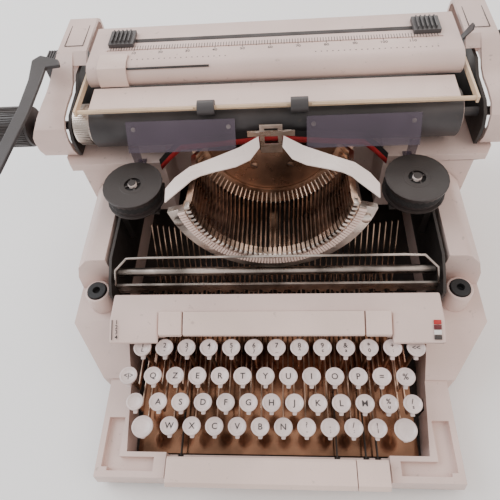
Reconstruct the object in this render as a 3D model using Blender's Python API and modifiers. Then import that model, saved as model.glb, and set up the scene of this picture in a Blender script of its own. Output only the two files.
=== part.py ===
"""A full-size manual typewriter, modelled as an assembly of separate sub-parts.

Units are metres in the scene. The dimensions below are millimetres and go through
MM. X runs to the typist's right, Y away from the typist and Z up. The origin lies
under the middle of the machine, on the surface that it stands on.
"""

import math

import bmesh
import bpy
from mathutils import Matrix, Vector

MM = 0.001
MIDDLE = 202.15  # from the case's front edge back to the origin

# Case
FRONT_HALF = 157.0
DECK_HALF = 150.0
REAR_HALF = 188.0
DECK_Z = 38.0
POCKET = 6.0  # depth of the sunken corners
FLANGE_Z = 60.0
BACK_Y = 392.0
BASE_Z = 7.0
WELL_HALF = 125.0
GAP = 0.3

# Keyboard
PITCH = 19.05
KEYS_X = 2.53
KEY_R = 7.7
KEY_THICK = 6.5
LEVER_THICK = 1.2
LEVER_Z = 35.5
LEVER_TALL = 5.0
FULCRUM_Y = 205.0
# name: (keys, first key's place in pitches from KEYS_X, y, z of the top)
ROWS = {
    "number_row_keys": (12, -6.0, 95.0, 82.8),
    "upper_row_keys": (12, -5.5, 74.1, 72.5),
    "home_row_keys": (12, -5.25, 55.0, 62.6),
    "lower_row_keys": (10, -4.75, 38.0, 53.2),
}
# name: (x of the cap, y, z, x of the lever, radius)
SINGLE_KEYS = {
    "backspace_key": (116.8, 95.0, 82.8, 116.8, 7.7),
    "margin_release_key": (-123.4, 74.1, 72.5, -121.5, 7.7),
    "shift_lock_key": (-117.4, 55.0, 62.6, -117.4, 7.4),
    "shift_key_left": (-110.6, 37.0, 53.2, -107.4, 9.2),
    "shift_key_right": (105.6, 37.0, 53.2, 102.6, 9.2),
}

SPACE_ARMS = (-80.8, 52.0)
HALF_SPACE_ARMS = (75.9, 85.5)

# Type basket, in a plane that leans with the typebars
PRINT_POINT = (0.0, 266.0, 160.0)
LEAN = math.radians(12.0)
TYPEBARS = 44
SPREAD = math.radians(80.0)
SEGMENT_R = 76.0

# Ribbon spools
SPOOL_X = 124.6
SPOOL_Y = 223.9
SPOOL_R = 27.0
SPOOL_TOP = 145.0
SPOOL_TALL = 17.5

# Carriage
PLATEN_Y = 287.0
PLATEN_Z = 160.0
PLATEN_R = 21.0
PLATEN_HALF = 165.0
SHAFT_R = 4.0
KNOB_END = 262.0
END_INNER_X = 189.5
END_FOOT_X = 222.0
END_BROW_X = 204.0
KNOB_R = 19.0
RAIL_TOP = 135.5
BAIL = (274.0, 185.3)
BAIL_PIVOT = (345.0, 186.0)
BAIL_ROLLERS = {"bail_roller_left": -56.0, "bail_roller_right": 25.0}

PUTTY = (0.62, 0.53, 0.47)
CREAM = (0.80, 0.70, 0.62)
COLOURS = {
    "case": (PUTTY, 0.55, 0.0),
    "cream": (CREAM, 0.5, 0.0),
    "key": ((0.86, 0.80, 0.78), 0.4, 0.0),
    "dark_metal": ((0.10, 0.10, 0.11), 0.45, 0.8),
    "steel": ((0.45, 0.42, 0.40), 0.35, 1.0),
    "brown_metal": ((0.20, 0.13, 0.10), 0.4, 0.8),
    "rubber": ((0.03, 0.03, 0.035), 0.6, 0.0),
    "platen": ((0.05, 0.06, 0.07), 0.5, 0.0),
    "ribbon": ((0.03, 0.02, 0.02), 0.8, 0.0),
    "clear": ((0.5, 0.5, 0.55), 0.1, 0.0),
    "grey": ((0.12, 0.13, 0.14), 0.5, 0.0),
}


def clear_scene():
    for obj in list(bpy.data.objects):
        bpy.data.objects.remove(obj)


def new_collection(name):
    collection = bpy.data.collections.new(name)
    bpy.context.scene.collection.children.link(collection)
    return collection


clear_scene()
PARTS = new_collection("typewriter")
TOOLS = new_collection("cutters")


def at(x, y, z):
    """Case millimetres to scene metres."""
    return Vector((x * MM, (y - MIDDLE) * MM, z * MM))


def finish_of(name):
    """The shared material of that finish."""
    material = bpy.data.materials.get(name)
    if material:
        return material
    colour, roughness, metallic = COLOURS[name]
    material = bpy.data.materials.new(name)
    material.use_nodes = True
    shader = material.node_tree.nodes["Principled BSDF"]
    shader.inputs["Base Color"].default_value = (*colour, 1.0)
    shader.inputs["Roughness"].default_value = roughness
    shader.inputs["Metallic"].default_value = metallic
    return material


def solid(name, mesh_editor, finish="case"):
    """A new object from a bmesh that is already in scene metres."""
    mesh = bpy.data.meshes.new(name)
    bmesh.ops.recalc_face_normals(mesh_editor, faces=mesh_editor.faces)
    mesh_editor.to_mesh(mesh)
    mesh_editor.free()
    mesh.materials.append(finish_of(finish))
    obj = bpy.data.objects.new(name, mesh)
    PARTS.objects.link(obj)
    return obj


def add_box(editor, x, y, z, turn=None):
    """One box between the limits x, y and z, each (low, high)."""
    middle = at(*((side[0] + side[1]) / 2 for side in (x, y, z)))
    size = [(side[1] - side[0]) * MM for side in (x, y, z)]
    matrix = Matrix.Translation(middle) @ (turn or Matrix()) @ Matrix.Diagonal((*size, 1.0))
    return bmesh.ops.create_cube(editor, size=1.0, matrix=matrix)["verts"]


def box(name, x, y, z, finish="case"):
    editor = bmesh.new()
    add_box(editor, x, y, z)
    return solid(name, editor, finish)


def boxes(name, limits, finish="case"):
    """Separate boxes in one object, for a later union or cut."""
    editor = bmesh.new()
    for x, y, z in limits:
        add_box(editor, x, y, z)
    return solid(name, editor, finish)


AXIS_TURNS = {
    "X": Matrix.Rotation(math.pi / 2, 4, "Y"),
    "Y": Matrix.Rotation(math.pi / 2, 4, "X"),
    "Z": Matrix(),
}


def add_round(editor, centre, axis, length, radius, far_radius=None, sides=24):
    matrix = Matrix.Translation(at(*centre)) @ AXIS_TURNS[axis]
    bmesh.ops.create_cone(
        editor,
        cap_ends=True,
        segments=sides,
        radius1=radius * MM,
        radius2=(radius if far_radius is None else far_radius) * MM,
        depth=length * MM,
        matrix=matrix,
    )


def rounds(name, places, axis, length, radius, finish="case", sides=24, far_radius=None):
    """Separate cylinders or cones in one object."""
    editor = bmesh.new()
    for centre in places:
        add_round(editor, centre, axis, length, radius, far_radius, sides)
    return solid(name, editor, finish)


PLANES = {
    "X": Matrix(((0, 0, 1, 0), (1, 0, 0, 0), (0, 1, 0, 0), (0, 0, 0, 1))),
    "Y": Matrix(((1, 0, 0, 0), (0, 0, -1, 0), (0, 1, 0, 0), (0, 0, 0, 1))),
    "Z": Matrix(),
}


def to_mesh(curve_object, finish):
    """A curve's solid as a mesh object with welded caps."""
    bpy.context.view_layer.update()
    evaluated = curve_object.evaluated_get(bpy.context.evaluated_depsgraph_get())
    mesh = bpy.data.meshes.new_from_object(evaluated)
    mesh.transform(curve_object.matrix_world)
    name = curve_object.name
    bpy.data.objects.remove(curve_object)
    editor = bmesh.new()
    editor.from_mesh(mesh)
    bpy.data.meshes.remove(mesh)
    bmesh.ops.remove_doubles(editor, verts=editor.verts, dist=0.00001)
    return solid(name, editor, finish)


def prism(name, outline, axis, low, high, finish="case"):
    """A flat outline in the plane across axis, from low to high along it."""
    curve = bpy.data.curves.new(name + "_outline", "CURVE")
    curve.dimensions = "2D"
    curve.fill_mode = "BOTH"
    curve.extrude = (high - low) / 2 * MM
    spline = curve.splines.new("POLY")
    spline.points.add(len(outline) - 1)
    spline.use_cyclic_u = True
    for spot, (u, v) in zip(spline.points, outline):
        shift = {"X": (MIDDLE, 0.0), "Y": (0.0, 0.0), "Z": (0.0, MIDDLE)}[axis]
        spot.co = ((u - shift[0]) * MM, (v - shift[1]) * MM, 0.0, 1.0)
    obj = bpy.data.objects.new(name, curve)
    PARTS.objects.link(obj)
    middle = (low + high) / 2
    offset = {
        "X": Vector((middle * MM, 0.0, 0.0)),
        "Y": Vector((0.0, (middle - MIDDLE) * MM, 0.0)),
        "Z": Vector((0.0, 0.0, middle * MM)),
    }[axis]
    obj.matrix_world = Matrix.Translation(offset) @ PLANES[axis]
    return to_mesh(obj, finish)


def wire(name, route, radius, finish="steel"):
    """A round wire along the route's points."""
    curve = bpy.data.curves.new(name + "_route", "CURVE")
    curve.dimensions = "3D"
    curve.bevel_depth = radius * MM
    curve.bevel_resolution = 2
    curve.use_fill_caps = True
    spline = curve.splines.new("POLY")
    spline.points.add(len(route) - 1)
    for spot, place in zip(spline.points, route):
        spot.co = (*at(*place), 1.0)
    obj = bpy.data.objects.new(name, curve)
    PARTS.objects.link(obj)
    return to_mesh(obj, finish)


def combine(obj, other, operation):
    """Joins other to obj, or cuts it, and puts other with the cutters."""
    modifier = obj.modifiers.new(other.name, "BOOLEAN")
    modifier.operation = operation
    modifier.solver = "EXACT"
    modifier.object = other
    PARTS.objects.unlink(other)
    TOOLS.objects.link(other)
    other.hide_render = True
    other.display_type = "WIRE"
    return obj


def join(obj, *others):
    for other in others:
        combine(obj, other, "UNION")
    return obj


def cut(obj, *others):
    for other in others:
        combine(obj, other, "DIFFERENCE")
    return obj


def pivot(obj, x, y, z):
    """Moves the object's origin to its joint's axis, without moving its shape."""
    place = at(x, y, z)
    obj.data.transform(Matrix.Translation(-place))
    obj.location = place
    return obj


def mirrored(outline):
    """The outline mirrored in X, still running the same way round."""
    return [(-x, y) for x, y in reversed(outline)]


def both_sides(outline):
    """A half outline from front to back on the right, closed by its mirror."""
    return outline + mirrored(outline)


# ---------------------------------------------------------------- lower case


def make_base_shell():
    front = boxes("base_shell", [((-FRONT_HALF, FRONT_HALF), (0, 140), (BASE_Z, DECK_Z))])
    for vertex in front.data.vertices:
        if vertex.co.z > (DECK_Z - 1) * MM:
            vertex.co.x *= DECK_HALF / FRONT_HALF
    side_profile = [(82, BASE_Z), (BACK_Y + 3, BASE_Z), (BACK_Y + 3, FLANGE_Z), (128, FLANGE_Z), (82, 40)]
    rear = prism("rear_block", side_profile, "X", -REAR_HALF, REAR_HALF)
    plan = both_sides([(156, 81), (REAR_HALF, 128), (REAR_HALF, BACK_Y + 4)])
    combine(rear, prism("rear_plan", plan, "Z", 0, 70), "INTERSECT")
    cheek = [(148.5, 50), (187.5, 50), (187.5, 62), (185, 80), (179, 97), (169, 108), (164, 110), (150, 110)]
    cheeks = [
        prism("cheek_right", cheek, "Y", 166, 261),
        prism("cheek_left", mirrored(cheek), "Y", 166, 261),
    ]
    join(front, rear, *cheeks)
    well = both_sides([(WELL_HALF, 20), (135, 118), (148, 135), (148, BACK_Y)])
    cut(front, prism("well", well, "Z", -5, 200))
    hollows = []
    for side in (-1, 1):
        edges = sorted((side * 129, side * 146))
        hollows.append((edges, (5, 70), (-5, DECK_Z - POCKET - 3)))
        hollows.append((sorted((side * 152, side * 184)), (134, BACK_Y), (-5, FLANGE_Z - 3)))
    cut(front, boxes("deck_hollows", hollows))
    cut(front, box("front_hollow", (-146, 146), (3, 17), (-5, 24)))
    cut(front, box("space_bar_notch", (-91, 93), (-5, 21), (27, 60)))
    arms = [((x - 2.5, x + 2.5), (4, 24), (12, 50)) for x in SPACE_ARMS + HALF_SPACE_ARMS]
    cut(front, boxes("space_bar_slots", arms))
    pockets = []
    for side in (-1, 1):
        pockets.append((sorted((side * 131, side * 145)), (8, 48), (DECK_Z - POCKET, 50)))
        pockets.append((sorted((side * 101, side * 140)), (5, 16), (DECK_Z - POCKET, 50)))
    cut(front, boxes("pockets_long", pockets[::2]))
    cut(front, boxes("pockets_cross", pockets[1::2]))
    return front


def make_bottom_pan():
    pan = box("bottom_pan", (-150, 150), (8, BACK_Y - 8), (4.5, BASE_Z - GAP), "dark_metal")
    corners = [(x, y, 2.5) for x in (-132, 132) for y in (28, BACK_Y - 28)]
    return join(pan, rounds("feet", corners, "Z", 5.0, 12, "rubber", far_radius=10))


def make_key_well_floor():
    outline = [(24, 10), (150, 19), (150, 20.2), (24, 11.2)]
    return prism("key_well_floor", outline, "X", -WELL_HALF + 2, WELL_HALF - 2, "brown_metal")


def make_keyboard_cover():
    visor = [(97, 84.6), (112, 84.6), (112, 61), (138, 61), (138, 96.5), (114, 95.3), (97, 86.6)]
    cover = prism("keyboard_cover", visor, "X", -140, 140)
    cut(cover, box("tab_space", (-98, 98), (90, 121.5), (50, 120)))
    return cut(cover, box("cover_hollow", (-136, 136), (124.5, 135), (50, 92)))


def make_side_plates():
    outline = [(140, 48), (262, 48), (262, 109), (168, 109), (150, 100), (140, 92)]
    prism("side_plate_left", outline, "X", -146.5, -144, "dark_metal")
    prism("side_plate_right", outline, "X", 144, 146.5, "dark_metal")


def make_cross_bars():
    rounds("cross_rod", [(0, 167.6, 86)], "X", 287.4, 4.0, "steel", sides=20)
    comb = box("comb_bar", (-143.7, 143.7), (152, 154.2), (74, 88), "steel")
    holes = [(x * 12.6, 153, 75) for x in range(-9, 10)]
    cut(comb, rounds("comb_holes", holes, "Y", 10, 3.6, "steel", sides=8))
    ends = [(-142.4, 150, 92), (-138, 155, 110), (-126, 160, 121), (-110, 160, 122)]
    wire("wire_bail", ends + [(-x, y, z) for x, y, z in reversed(ends)], 1.1)


def make_grommets():
    for name, side in (("grommet_left", -1), ("grommet_right", 1)):
        post = rounds(name, [(side * 163, 150, 72.3)], "Z", 24, 9.5, "rubber", far_radius=8.5)
        cut(post, rounds(name + "_hole", [(side * 163, 150, 86)], "Z", 14, 3.5, "rubber", sides=16))


def make_rear_cover():
    outline = [(104, 300), (104, 262), (187, 262), (187, BACK_Y + 2)]
    cover = prism("rear_cover", both_sides(outline), "Z", FLANGE_Z + GAP, 126)
    lip = [(104, 300), (104, 261), (196, 261), (202, 272), (202, BACK_Y + 2)]
    join(cover, prism("rear_lip", both_sides(lip), "Z", 125, 133))
    inner = [(107, 303), (107, 265), (184, 265), (184, BACK_Y - 1)]
    return cut(cover, prism("rear_hollow", both_sides(inner), "Z", 50, 130))


# ------------------------------------------------------------------ keyboard


def key_shapes(name, caps, stems, radius):
    """Lever, stem and cap of one key or one row, as objects to join."""
    levers = []
    posts = []
    for lever_x, y, z in stems:
        half = LEVER_THICK / 2
        levers.append(((lever_x - half, lever_x + half), (y, FULCRUM_Y - 5), (LEVER_Z - 2.5, LEVER_Z + 2.5)))
        posts.append(((lever_x - 0.9, lever_x + 0.9), (y - 2, y + 2.5), (LEVER_Z - 2.8, z - KEY_THICK + 2)))
    tops = [(x, y, z - KEY_THICK / 2) for x, y, z in caps]
    return [
        boxes(name + "_levers", levers, "steel"),
        boxes(name + "_posts", posts, "steel"),
        rounds(name + "_caps", tops, "Z", KEY_THICK, radius - 0.7, "key", 12, radius),
    ]


def make_key_rows():
    for name, (count, first, y, z) in ROWS.items():
        keys = [(KEYS_X + (first + i) * PITCH, y, z) for i in range(count)]
        ends = (keys[0][0] - 1.5, keys[-1][0] + 1.5)
        bar = box(name, ends, (y - 1.5, y + 1.5), (z - 13.5, z - 10.5), "key")
        join(bar, *key_shapes(name, keys, keys, KEY_R))
        pivot(bar, 0, FULCRUM_Y, LEVER_Z)


def make_single_keys():
    for name, (x, y, z, lever_x, radius) in SINGLE_KEYS.items():
        levers, posts, cap = key_shapes(name + "_part", [(x, y, z)], [(lever_x, y, z)], radius)
        cap.name = name
        join(cap, posts, levers)
        pivot(cap, 0, FULCRUM_Y, LEVER_Z)


def make_bars():
    bar = [(-6.7, 38.5), (-6.7, 42), (-4, 45), (13, 46), (15.5, 44.5), (15.5, 38.5)]
    for name, low, high, arms in (
        ("space_bar", -88.5, 64.7, SPACE_ARMS),
        ("half_space_bar", 65.4, 90.5, HALF_SPACE_ARMS),
    ):
        top = prism(name, bar, "X", low, high)
        posts = [((x - 1, x + 1), (8, 14), (21, 40)) for x in arms]
        levers = [((x - 0.6, x + 0.6), (12, FULCRUM_Y - 5), (23, 27)) for x in arms]
        join(top, boxes(name + "_posts", posts, "steel"), boxes(name + "_levers", levers, "steel"))
        pivot(top, 0, FULCRUM_Y, 25)
    blade = [(102, 88), (102, 92), (119.5, 100), (121, 98.5), (121, 90)]
    for name, low, high in (
        ("tab_set_key", -97.2, -77.2),
        ("tab_bar", -76.2, 75.2),
        ("tab_clear_key", 76.2, 97.2),
    ):
        key = prism(name, blade, "X", low, high)
        middle = (low + high) / 2
        join(key, box(name + "_stem", (middle - 3, middle + 3), (113, 116), (70, 92), "steel"))


# --------------------------------------------------------------- type basket


def lean_matrix(height):
    """Print point, X across, local Y down the basket and local Z towards the typist."""
    forward = Vector((0.0, -math.cos(LEAN), math.sin(LEAN)))
    down = Vector((0.0, -math.sin(LEAN), -math.cos(LEAN)))
    place = at(*PRINT_POINT) + forward * height * MM
    turn = Matrix((Vector((1.0, 0.0, 0.0)), down, forward)).transposed().to_4x4()
    return Matrix.Translation(place) @ turn


def sector(inner, outer, half_angle, steps):
    """The outline of an arc band that is centred straight down the basket."""
    angles = [half_angle * (2 * i / steps - 1) for i in range(steps + 1)]
    rim = [(outer * math.sin(a), outer * math.cos(a)) for a in angles]
    bore = [(inner * math.sin(a), inner * math.cos(a)) for a in reversed(angles)]
    return rim + bore


def basket_plate(name, outline, low, high, finish):
    """A flat plate in the basket's leaning plane."""
    plate = prism(name, [(u, v + MIDDLE) for u, v in outline], "Z", 0, high - low, finish)
    plate.data.transform(lean_matrix(low))
    return plate


def make_segment():
    flat = math.radians(78)
    disc = [(SEGMENT_R * math.sin(a), SEGMENT_R * math.cos(a)) for a in
            (flat * (i / 16 - 1) for i in range(33))]
    plate = basket_plate("segment", disc, -9, 0, "brown_metal")
    slots = bmesh.new()
    for i in range(0, TYPEBARS, 2):
        turn = Matrix.Rotation(SPREAD * 0.92 * (1 - 2 * i / (TYPEBARS - 1)), 4, "Z")
        shape = Matrix.Translation((0, 69 * MM, 0)) @ Matrix.Diagonal((1.4 * MM, 18 * MM, 5 * MM, 1))
        bmesh.ops.create_cube(slots, size=1.0, matrix=lean_matrix(0) @ turn @ shape)
    return cut(plate, solid("segment_slots", slots, "steel"))


def make_type_basket():
    ring = basket_plate("type_basket", sector(74, 88, math.radians(76), 28), 75, 81, "steel")
    pad = basket_plate("rest_pad", sector(72.3, 78, math.radians(76), 28), 78, 84, "cream")
    arms = bmesh.new()
    for side in (-62, 0, 62):
        turn = Matrix.Rotation(math.radians(side), 4, "Z")
        shape = Matrix.Translation((0, 84 * MM, 38 * MM)) @ Matrix.Diagonal((8 * MM, 3 * MM, 78 * MM, 1))
        bmesh.ops.create_cube(arms, size=1.0, matrix=lean_matrix(0) @ turn @ shape)
    return join(ring, pad, solid("basket_arms", arms, "steel"))


def make_type_bars():
    hub = basket_plate("type_bars", sector(60, 75, SPREAD, 32), 0.5, 3, "steel")
    stages = [((65, 2), (72, 12)), ((72, 11.5), (67.5, 46)), ((67.5, 45), (67, 82)), ((67, 80), (68, 86))]
    for number, ((r0, l0), (r1, l1)) in enumerate(stages):
        editor = bmesh.new()
        long = math.hypot(r1 - r0, l1 - l0)
        thick = (1.0, 1.1, 1.2, 2.6)[number]
        for i in range(TYPEBARS):
            turn = Matrix.Rotation(SPREAD * (1 - 2 * i / (TYPEBARS - 1)), 4, "Z")
            tilt = Matrix.Rotation(-math.atan2(r1 - r0, l1 - l0), 4, "X")
            middle = Matrix.Translation((0, (r0 + r1) / 2 * MM, (l0 + l1) / 2 * MM))
            scale = Matrix.Diagonal((thick * MM, (3.2 + number) * MM, (long + 0.6) * MM, 1))
            bmesh.ops.create_cube(editor, size=1.0, matrix=lean_matrix(0) @ turn @ middle @ tilt @ scale)
        join(hub, solid("type_bars_%d" % number, editor, "steel"))
    return hub


# -------------------------------------------------------------------- ribbon


def make_spools():
    for side, word in ((-1, "left"), (1, "right")):
        centre = (side * SPOOL_X, SPOOL_Y)
        middle = (*centre, SPOOL_TOP - SPOOL_TALL / 2)
        spool = rounds("spool_" + word, [middle], "Z", SPOOL_TALL, SPOOL_R, "rubber", 28)
        groove = rounds("groove_" + word, [middle], "Z", SPOOL_TALL - 3, SPOOL_R + 4, "rubber", 28)
        cut(groove, rounds("core_" + word, [middle], "Z", SPOOL_TALL, SPOOL_R - 2.2, "rubber", 28))
        cut(spool, groove)
        cut(spool, rounds("recess_" + word, [(*centre, SPOOL_TOP)], "Z", 6, 7.5, "rubber"))
        join(spool, rounds("hub_" + word, [(*centre, SPOOL_TOP - 2)], "Z", 8, 3.6, "cream", 16))
        pivot(spool, *centre, SPOOL_TOP)
        shelf_z = SPOOL_TOP - SPOOL_TALL - 1.5
        shelf_x = sorted((side * 102, side * 143.2))
        shelf = box("spool_bracket_" + word, shelf_x, (206, 242), (shelf_z - 2.5, shelf_z), "dark_metal")
        leg_x = sorted((side * 137, side * 143.2))
        join(shelf, box("spool_leg_" + word, leg_x, (212, 236), (80, shelf_z - 1), "dark_metal"))


def strip(name, edges, thickness, finish):
    """A lofted strip between two edges, given as pairs of points, made solid."""
    editor = bmesh.new()
    rows = [[editor.verts.new(at(*spot)) for spot in pair] for pair in edges]
    for one, two in zip(rows, rows[1:]):
        editor.faces.new((one[0], one[1], two[1], two[0]))
    mesh = bpy.data.meshes.new(name)
    editor.to_mesh(mesh)
    editor.free()
    mesh.materials.append(finish_of(finish))
    obj = bpy.data.objects.new(name, mesh)
    PARTS.objects.link(obj)
    skin = obj.modifiers.new("skin", "SOLIDIFY")
    skin.thickness = thickness * MM
    skin.offset = 0.0
    return obj


def make_wings():
    upper = [
        (11, 257.5, 165.5), (28, 247, 163), (51, 238, 160), (71, 229, 159),
        (82, 216, 160), (88, 202, 162), (86, 186, 164),
    ]
    lower = [
        (10, 247.5, 161.5), (18, 234.5, 160), (30, 227, 160), (47.5, 221, 161),
        (59.5, 215, 163), (66, 207.5, 166), (70, 200, 168),
    ]
    for side, word in ((-1, "left"), (1, "right")):
        pairs = [((side * a[0], *a[1:]), (side * b[0], *b[1:])) for a, b in zip(upper, lower)]
        strip("wing_" + word, pairs, 1.2, "cream")
        lean = [(248.5, 158.5), (250, 157.8), (265.5, 180), (264.2, 180.8)]
        card = prism("card_holder_" + word, lean, "X", *sorted((side * 31, side * 128)), "clear")
        foot_x = sorted((side * 120, side * 128))
        join(card, box("card_leg_" + word, foot_x, (252.5, 254.5), (133.5, 163), "clear"))
        join(card, box("card_foot_" + word, foot_x, (253, 265), (133.4, 135), "clear"))


def make_ribbon():
    half = [
        (0, 264.2, 160), (9, 264.2, 160), (24, 262, 159.8), (55, 259.5, 158.9),
        (82, 258.5, 157.8), (94, 256, 148), (104, 252.2, 139),
    ]
    route = [(-x, y, z) for x, y, z in reversed(half[1:])] + half
    pairs = [((x, y + 0.3, z + 6.4), (x, y - 0.3, z - 6.4)) for x, y, z in route]
    strip("ribbon", pairs, 0.4, "ribbon")
    guide = box("ribbon_vibrator", (-10, 10), (259.8, 260.8), (143, 176), "steel")
    cut(guide, box("vibrator_window", (-6, 6), (250, 270), (154, 172)))
    return join(guide, boxes("vibrator_flags", [((-21, 21), (259.6, 260.6), (163.2, 169.5))], "steel"))


# ------------------------------------------------------------------ carriage


def make_carriage_frame():
    frame = box("carriage_frame", (-188.5, 188.5), (313, 372), (RAIL_TOP + GAP, 141), "dark_metal")
    plate = [
        (270, 136.5), (268.5, 146), (268.5, 158), (274, 168), (284, 174),
        (315, 176), (330, 184), (372, 184), (372, 136.5),
    ]
    for side, word in ((-1, "left"), (1, "right")):
        limits = sorted((side * 184, side * 187))
        join(frame, prism("upright_" + word, plate, "X", *limits, "dark_metal"))
    shaft_holes = [(0, PLATEN_Y, PLATEN_Z)]
    return cut(frame, rounds("shaft_holes", shaft_holes, "X", 400, SHAFT_R + 0.4, sides=20))


def make_platen():
    platen = rounds("platen", [(0, PLATEN_Y, PLATEN_Z)], "X", 2 * PLATEN_HALF, PLATEN_R, "platen", 48)
    reach = 2 * (KNOB_END - 36) - 1.0
    join(platen, rounds("platen_shaft", [(0, PLATEN_Y, PLATEN_Z)], "X", reach, SHAFT_R, "steel", 20))
    pivot(platen, 0, PLATEN_Y, PLATEN_Z)
    wheel = rounds("ratchet_wheel", [(-174, PLATEN_Y, PLATEN_Z)], "X", 15, 18, "steel", 48)
    cut(wheel, rounds("ratchet_bore", [(-174, PLATEN_Y, PLATEN_Z)], "X", 30, SHAFT_R + GAP, sides=20))
    pivot(wheel, 0, PLATEN_Y, PLATEN_Z)
    for side, word in ((-1, "left"), (1, "right")):
        middle = (side * (KNOB_END - 18), PLATEN_Y, PLATEN_Z)
        knob = rounds("knob_" + word, [middle], "X", 36, KNOB_R - 0.6, "rubber", 32)
        ribs = bmesh.new()
        for i in range(16):
            turn = Matrix.Rotation(i * math.tau / 16, 4, "X")
            size = Matrix.Diagonal((24 * MM, 2.2 * MM, 3.6 * MM, 1))
            shape = Matrix.Translation((0, 0, (KNOB_R - 1.8) * MM)) @ size
            bmesh.ops.create_cube(ribs, size=1.0, matrix=Matrix.Translation(at(*middle)) @ turn @ shape)
        join(knob, solid("knob_ribs_" + word, ribs, "rubber"))
        pivot(knob, 0, PLATEN_Y, PLATEN_Z)


def slanted(name, inner_x, low_z, top_z, side, inset):
    """A block over one end whose outer face leans in above the release button."""
    foot, brow = END_FOOT_X - inset, END_BROW_X - inset
    outline = [(inner_x, low_z), (foot, low_z), (foot, 162), (brow, top_z), (inner_x, top_z)]
    if side < 0:
        outline = mirrored(outline)
    return prism(name, outline, "Y", 260, 420)


def make_end_covers():
    side_outline = [
        (272, 136), (268, 146), (267.5, 158), (271, 169), (280, 176), (296, 178), (312, 178),
        (322, 180.5), (334, 189), (348, 197), (402, 198), (409, 193), (411, 184), (411, 136),
    ]
    inner = [
        (276, 130), (271.5, 147), (271, 157.5), (274, 167), (281.5, 173), (296, 175), (313, 175),
        (323.5, 177.8), (336, 186), (349, 194), (401, 195), (408, 191), (408, 130),
    ]
    top = [
        (337, 189), (348, 197), (402, 198), (409, 193), (411, 184), (411, 160),
        (407, 160), (407, 190), (402, 194.5), (350, 194), (340, 187),
    ]
    for side, word in ((-1, "left"), (1, "right")):
        limits = sorted((side * END_INNER_X, side * END_FOOT_X))
        cover = prism("end_cover_" + word, side_outline, "X", *limits)
        combine(cover, slanted("end_lean_" + word, 180, 130, 198.5, side, 0), "INTERSECT")
        hollow = prism("end_hollow_" + word, inner, "X", *sorted((side * 180, side * 225)))
        combine(hollow, slanted("end_hollow_lean_" + word, 175, 120, 197.5, side, 3), "INTERSECT")
        cut(cover, hollow)
        join(cover, prism("end_top_" + word, top, "X", *sorted((side * 176, side * 202))))
        cut(cover, rounds("end_bore_" + word, [(side * 205, PLATEN_Y, PLATEN_Z)], "X", 60, SHAFT_R + 0.6))
        cut(cover, box("button_notch_" + word, sorted((side * 209, side * 232)), (349, 375), (158, 185)))


def make_paper_table():
    outer = [
        (313.8, 181), (311.3, 186), (312, 192), (316, 197.5), (321.5, 200),
        (378, 200), (382, 198), (384, 193), (384, 180),
    ]
    inner = [
        (316, 175), (313.4, 186.3), (314, 191.2), (317.4, 195.8), (322.2, 198),
        (377.6, 198), (380.8, 196.4), (382, 192.5), (382, 175),
    ]
    table = prism("paper_table", outer, "X", -169, 169)
    cut(table, prism("table_hollow", inner, "X", -175, 175))
    cut(table, box("margin_slot", (-153.5, 154.5), (340.3, 342.1), (199.1, 206)))
    rest = [(280.5, 181.6), (308, 182.4), (308, 183.6), (280.5, 182.8)]
    prism("erasure_plate", rest, "X", -164, 162, "cream")
    for word, low, high in (("left", -152, -128), ("right", 129, 153)):
        stop = box("margin_stop_" + word, (low, high), (345, 367), (200.3, 204), "grey")
        ribs = [((x, x + 1.4), (347, 365), (203.5, 206.5)) for x in range(low + 3, high - 3, 4)]
        join(stop, boxes("margin_ribs_" + word, ribs, "grey"))
    guide = [
        (310.5, 184), (310.5, 186.5), (311.3, 192.5), (315.6, 198.4), (321.3, 200.5), (333, 200.5),
        (333, 202), (321, 202), (314.4, 199.8), (309.7, 193.2), (308.8, 186.5), (308.8, 184),
    ]
    prism("paper_guide", guide, "X", -158, -131, "cream")


def make_bail():
    y, z = BAIL
    rod = rounds("paper_bail", [(0, y, z)], "X", 348, 2.0, "steel", 16)
    tilt = Matrix.Rotation(math.radians(42), 4, "X")
    editor = bmesh.new()
    edges = [-153, -66.5, -45.5, 14.5, 35.5, 155]
    for low, high in zip(edges[::2], edges[1::2]):
        add_box(editor, (low, high), (y - 5.5, y + 5.5), (z - 0.8, z + 0.8), tilt.inverted())
    reach = (y - 3, BAIL_PIVOT[0] + 3)
    arms = [((side * 173 - 1, side * 173 + 1), reach, (z - 2.6, z + 3.4)) for side in (-1, 1)]
    join(rod, solid("bail_scale", editor, "cream"), boxes("bail_arms", arms, "steel"))
    pivot(rod, 0, *BAIL_PIVOT)
    for name, x in BAIL_ROLLERS.items():
        roller = rounds(name, [(x, y, z)], "X", 15, 6.6, "grey", 24)
        cut(roller, rounds(name + "_bore", [(x, y, z)], "X", 30, 2.3, sides=16))
        pivot(roller, x, y, z)


def make_levers():
    path = [
        (-196, 328), (-216, 336), (-222, 329), (-217, 300), (-215, 262), (-218, 190), (-222, 172),
        (-212, 168), (-207, 190), (-204, 256), (-205, 300), (-206, 318), (-193, 320),
    ]
    lever = prism("line_space_lever", path, "Z", 199, 202.5, "grey")
    pivot(lever, -200, 325, 200)
    for side, word in ((-1, "left"), (1, "right")):
        limits = sorted((side * 209.8, side * 225.5))
        button = box("release_button_" + word, limits, (350, 374), (163, 182), "grey")
        starts = [side * (211 + 2.6 * i) for i in range(6)]
        ribs = [(sorted((x, x + side * 1.4)), (351, 373), (181, 183.2)) for x in starts]
        join(button, boxes("release_ribs_" + word, ribs, "grey"))
    outline = [(352, 186), (356, 188), (338, 213), (333, 214), (332, 210)]
    lever = prism("paper_release_lever", outline, "X", 174.4, 175.7, "grey")
    pivot(lever, 175, 353, 188)


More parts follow.
